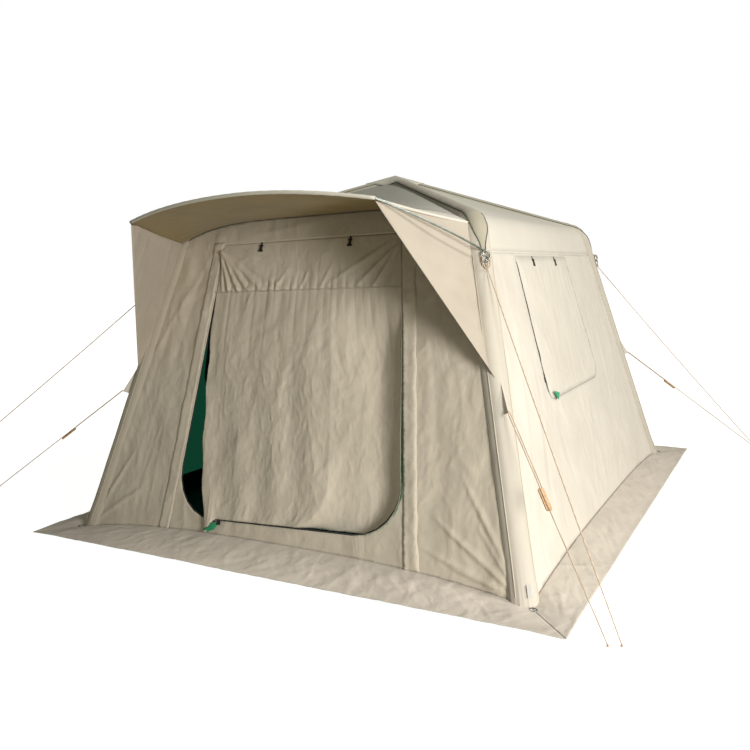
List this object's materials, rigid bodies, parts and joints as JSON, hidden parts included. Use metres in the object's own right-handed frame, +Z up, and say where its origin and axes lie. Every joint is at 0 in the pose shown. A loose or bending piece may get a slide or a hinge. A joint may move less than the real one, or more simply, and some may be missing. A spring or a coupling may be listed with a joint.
{
  "type": "inflatable cube tent",
  "caption": "Inflatable cube tent with bent air beams, canvas walls, a gathered door, side windows and a porch awning on a hinged pole, held by guy lines.",
  "frame": {"origin": "on the ground, in the middle of the tent's plan", "axes": "+Z up, -Y out of the door, +X to the right seen from outside the door"},
  "size_m": [4.5964, 4.392, 2.1219],
  "materials": {
    "canvas": "matt woven",
    "roof_canvas": "matt woven",
    "air_tube": "satin",
    "black_plastic": "satin",
    "rope": "braided",
    "runner_wood": "plain",
    "steel": "satin",
    "zip_tape": "matt woven",
    "mesh": "fine mesh",
    "floor": "coated"
  },
  "bodies": {
    "tent": {"air_beam_back_left": "air_tube", "air_beam_back_right": "air_tube", "air_beam_front_left": "air_tube", "air_beam_front_right": "air_tube", "awning_canopy": "roof_canvas", "awning_wing_left": "canvas", "awning_wing_right": "canvas", "base_ring_back_left": "steel", "base_ring_back_right": "steel", "base_ring_front_left": "steel", "base_ring_front_right": "steel", "beam_sleeve_back_left": "canvas", "beam_sleeve_back_right": "canvas", "beam_sleeve_front_left": "canvas", "beam_sleeve_front_right": "canvas", "crown_cap": "roof_canvas", "crown_hub": "air_tube", "door_zip": "zip_tape", "ground_skirt": "canvas", "groundsheet": "floor", "guy_line_mid_back_right": "rope", "guy_line_mid_front_left": "rope", "guy_line_mid_front_right": "rope", "guy_line_top_back_right": "rope", "guy_line_top_front_left": "rope", "guy_line_top_front_right": "rope", "inflation_valve": "black_plastic", "roof_back": "roof_canvas", "roof_front": "roof_canvas", "roof_left": "roof_canvas", "roof_right": "roof_canvas", "shoulder_ring_back_left": "steel", "shoulder_ring_back_right": "steel", "shoulder_ring_front_left": "steel", "shoulder_ring_front_right": "steel", "wall_back": "canvas", "wall_front": "canvas", "wall_left": "canvas", "wall_right": "canvas", "window_mesh_left": "mesh", "window_mesh_right": "mesh", "window_zip_left": "zip_tape", "window_zip_right": "zip_tape"},
    "awning": {"awning_pole": "steel"},
    "door": {"door_panel": "canvas"},
    "door_toggle_left": {"door_toggle_left": "black_plastic"},
    "door_toggle_right": {"door_toggle_right": "black_plastic"},
    "window_right": {"window_cover_right": "canvas"},
    "window_toggle_right_front": {"window_toggle_right_front": "black_plastic"},
    "window_toggle_right_back": {"window_toggle_right_back": "black_plastic"},
    "window_left": {"window_cover_left": "canvas"},
    "window_toggle_left_front": {"window_toggle_left_front": "black_plastic"},
    "window_toggle_left_back": {"window_toggle_left_back": "black_plastic"},
    "door_slider": {"door_slider": "black_plastic"},
    "window_slider_right": {"window_slider_right": "black_plastic"},
    "window_slider_left": {"window_slider_left": "black_plastic"},
    "runner_front_right": {"guy_runner_front_right": "runner_wood"},
    "runner_front_left": {"guy_runner_front_left": "runner_wood"},
    "runner_back_right": {"guy_runner_back_right": "runner_wood"},
    "valve_cap": {"valve_cap": "black_plastic"}
  },
  "joints": [
    {"name": "awning_swing", "type": "hinge", "parent": "tent", "child": "awning", "pos_m": [0, -1.09105, 1.55466], "axis": [1, 0, 0], "range_deg": [0, 70], "deforming": ["awning_canopy", "awning_wing_left", "awning_wing_right"]},
    {"name": "door_open", "type": "hinge", "parent": "tent", "child": "door", "pos_m": [0, -1.04254, 1.675], "axis": [-1, 0, 0], "range_deg": [0, 70]},
    {"name": "door_toggle_left_swing", "type": "hinge", "parent": "door", "child": "door_toggle_left", "pos_m": [-0.336, -1.04393, 1.67492], "axis": [-1, 0, 0], "range_deg": [0, 35]},
    {"name": "door_toggle_right_swing", "type": "hinge", "parent": "door", "child": "door_toggle_right", "pos_m": [0.264, -1.04393, 1.67492], "axis": [-1, 0, 0], "range_deg": [0, 35]},
    {"name": "window_right_open", "type": "hinge", "parent": "tent", "child": "window_right", "pos_m": [1.03883, 0, 1.53494], "axis": [0, -1, 0], "range_deg": [0, 70]},
    {"name": "window_toggle_right_front_swing", "type": "hinge", "parent": "window_right", "child": "window_toggle_right_front", "pos_m": [1.04021, -0.345, 1.53476], "axis": [0, -1, 0], "range_deg": [0, 35]},
    {"name": "window_toggle_right_back_swing", "type": "hinge", "parent": "window_right", "child": "window_toggle_right_back", "pos_m": [1.04021, 0.085, 1.53476], "axis": [0, -1, 0], "range_deg": [0, 35]},
    {"name": "window_left_open", "type": "hinge", "parent": "tent", "child": "window_left", "pos_m": [-1.03883, 0, 1.53494], "axis": [0, 1, 0], "range_deg": [0, 70]},
    {"name": "window_toggle_left_front_swing", "type": "hinge", "parent": "window_left", "child": "window_toggle_left_front", "pos_m": [-1.04021, -0.345, 1.53476], "axis": [0, 1, 0], "range_deg": [0, 35]},
    {"name": "window_toggle_left_back_swing", "type": "hinge", "parent": "window_left", "child": "window_toggle_left_back", "pos_m": [-1.04021, 0.085, 1.53476], "axis": [0, 1, 0], "range_deg": [0, 35]},
    {"name": "door_zip_slide", "type": "slide", "parent": "tent", "child": "door_slider", "axis": [0.9994, 0.0106, 0.0338], "range_m": [0, 0.75]},
    {"name": "window_zip_slide_right", "type": "slide", "parent": "tent", "child": "window_slider_right", "axis": [-0.2327, 0, 0.9726], "range_m": [0, 0.6]},
    {"name": "window_zip_slide_left", "type": "slide", "parent": "tent", "child": "window_slider_left", "axis": [0.2327, 0, 0.9726], "range_m": [0, 0.6]},
    {"name": "runner_slide_front_right", "type": "slide", "parent": "tent", "child": "runner_front_right", "axis": [0.5056, -0.4012, -0.7638], "range_m": [-0.15, 0.2]},
    {"name": "runner_slide_front_left", "type": "slide", "parent": "tent", "child": "runner_front_left", "axis": [-0.7082, -0.4082, -0.576], "range_m": [-0.15, 0.2]},
    {"name": "runner_slide_back_right", "type": "slide", "parent": "tent", "child": "runner_back_right", "axis": [0.624, 0.498, -0.6022], "range_m": [-0.15, 0.2]},
    {"name": "valve_cap_turn", "type": "hinge", "parent": "tent", "child": "valve_cap", "pos_m": [-1.2777, 1.41277, 0.34], "axis": [-0.6722, 0.6456, 0.3626], "range_deg": [0, 270]}
  ]
}
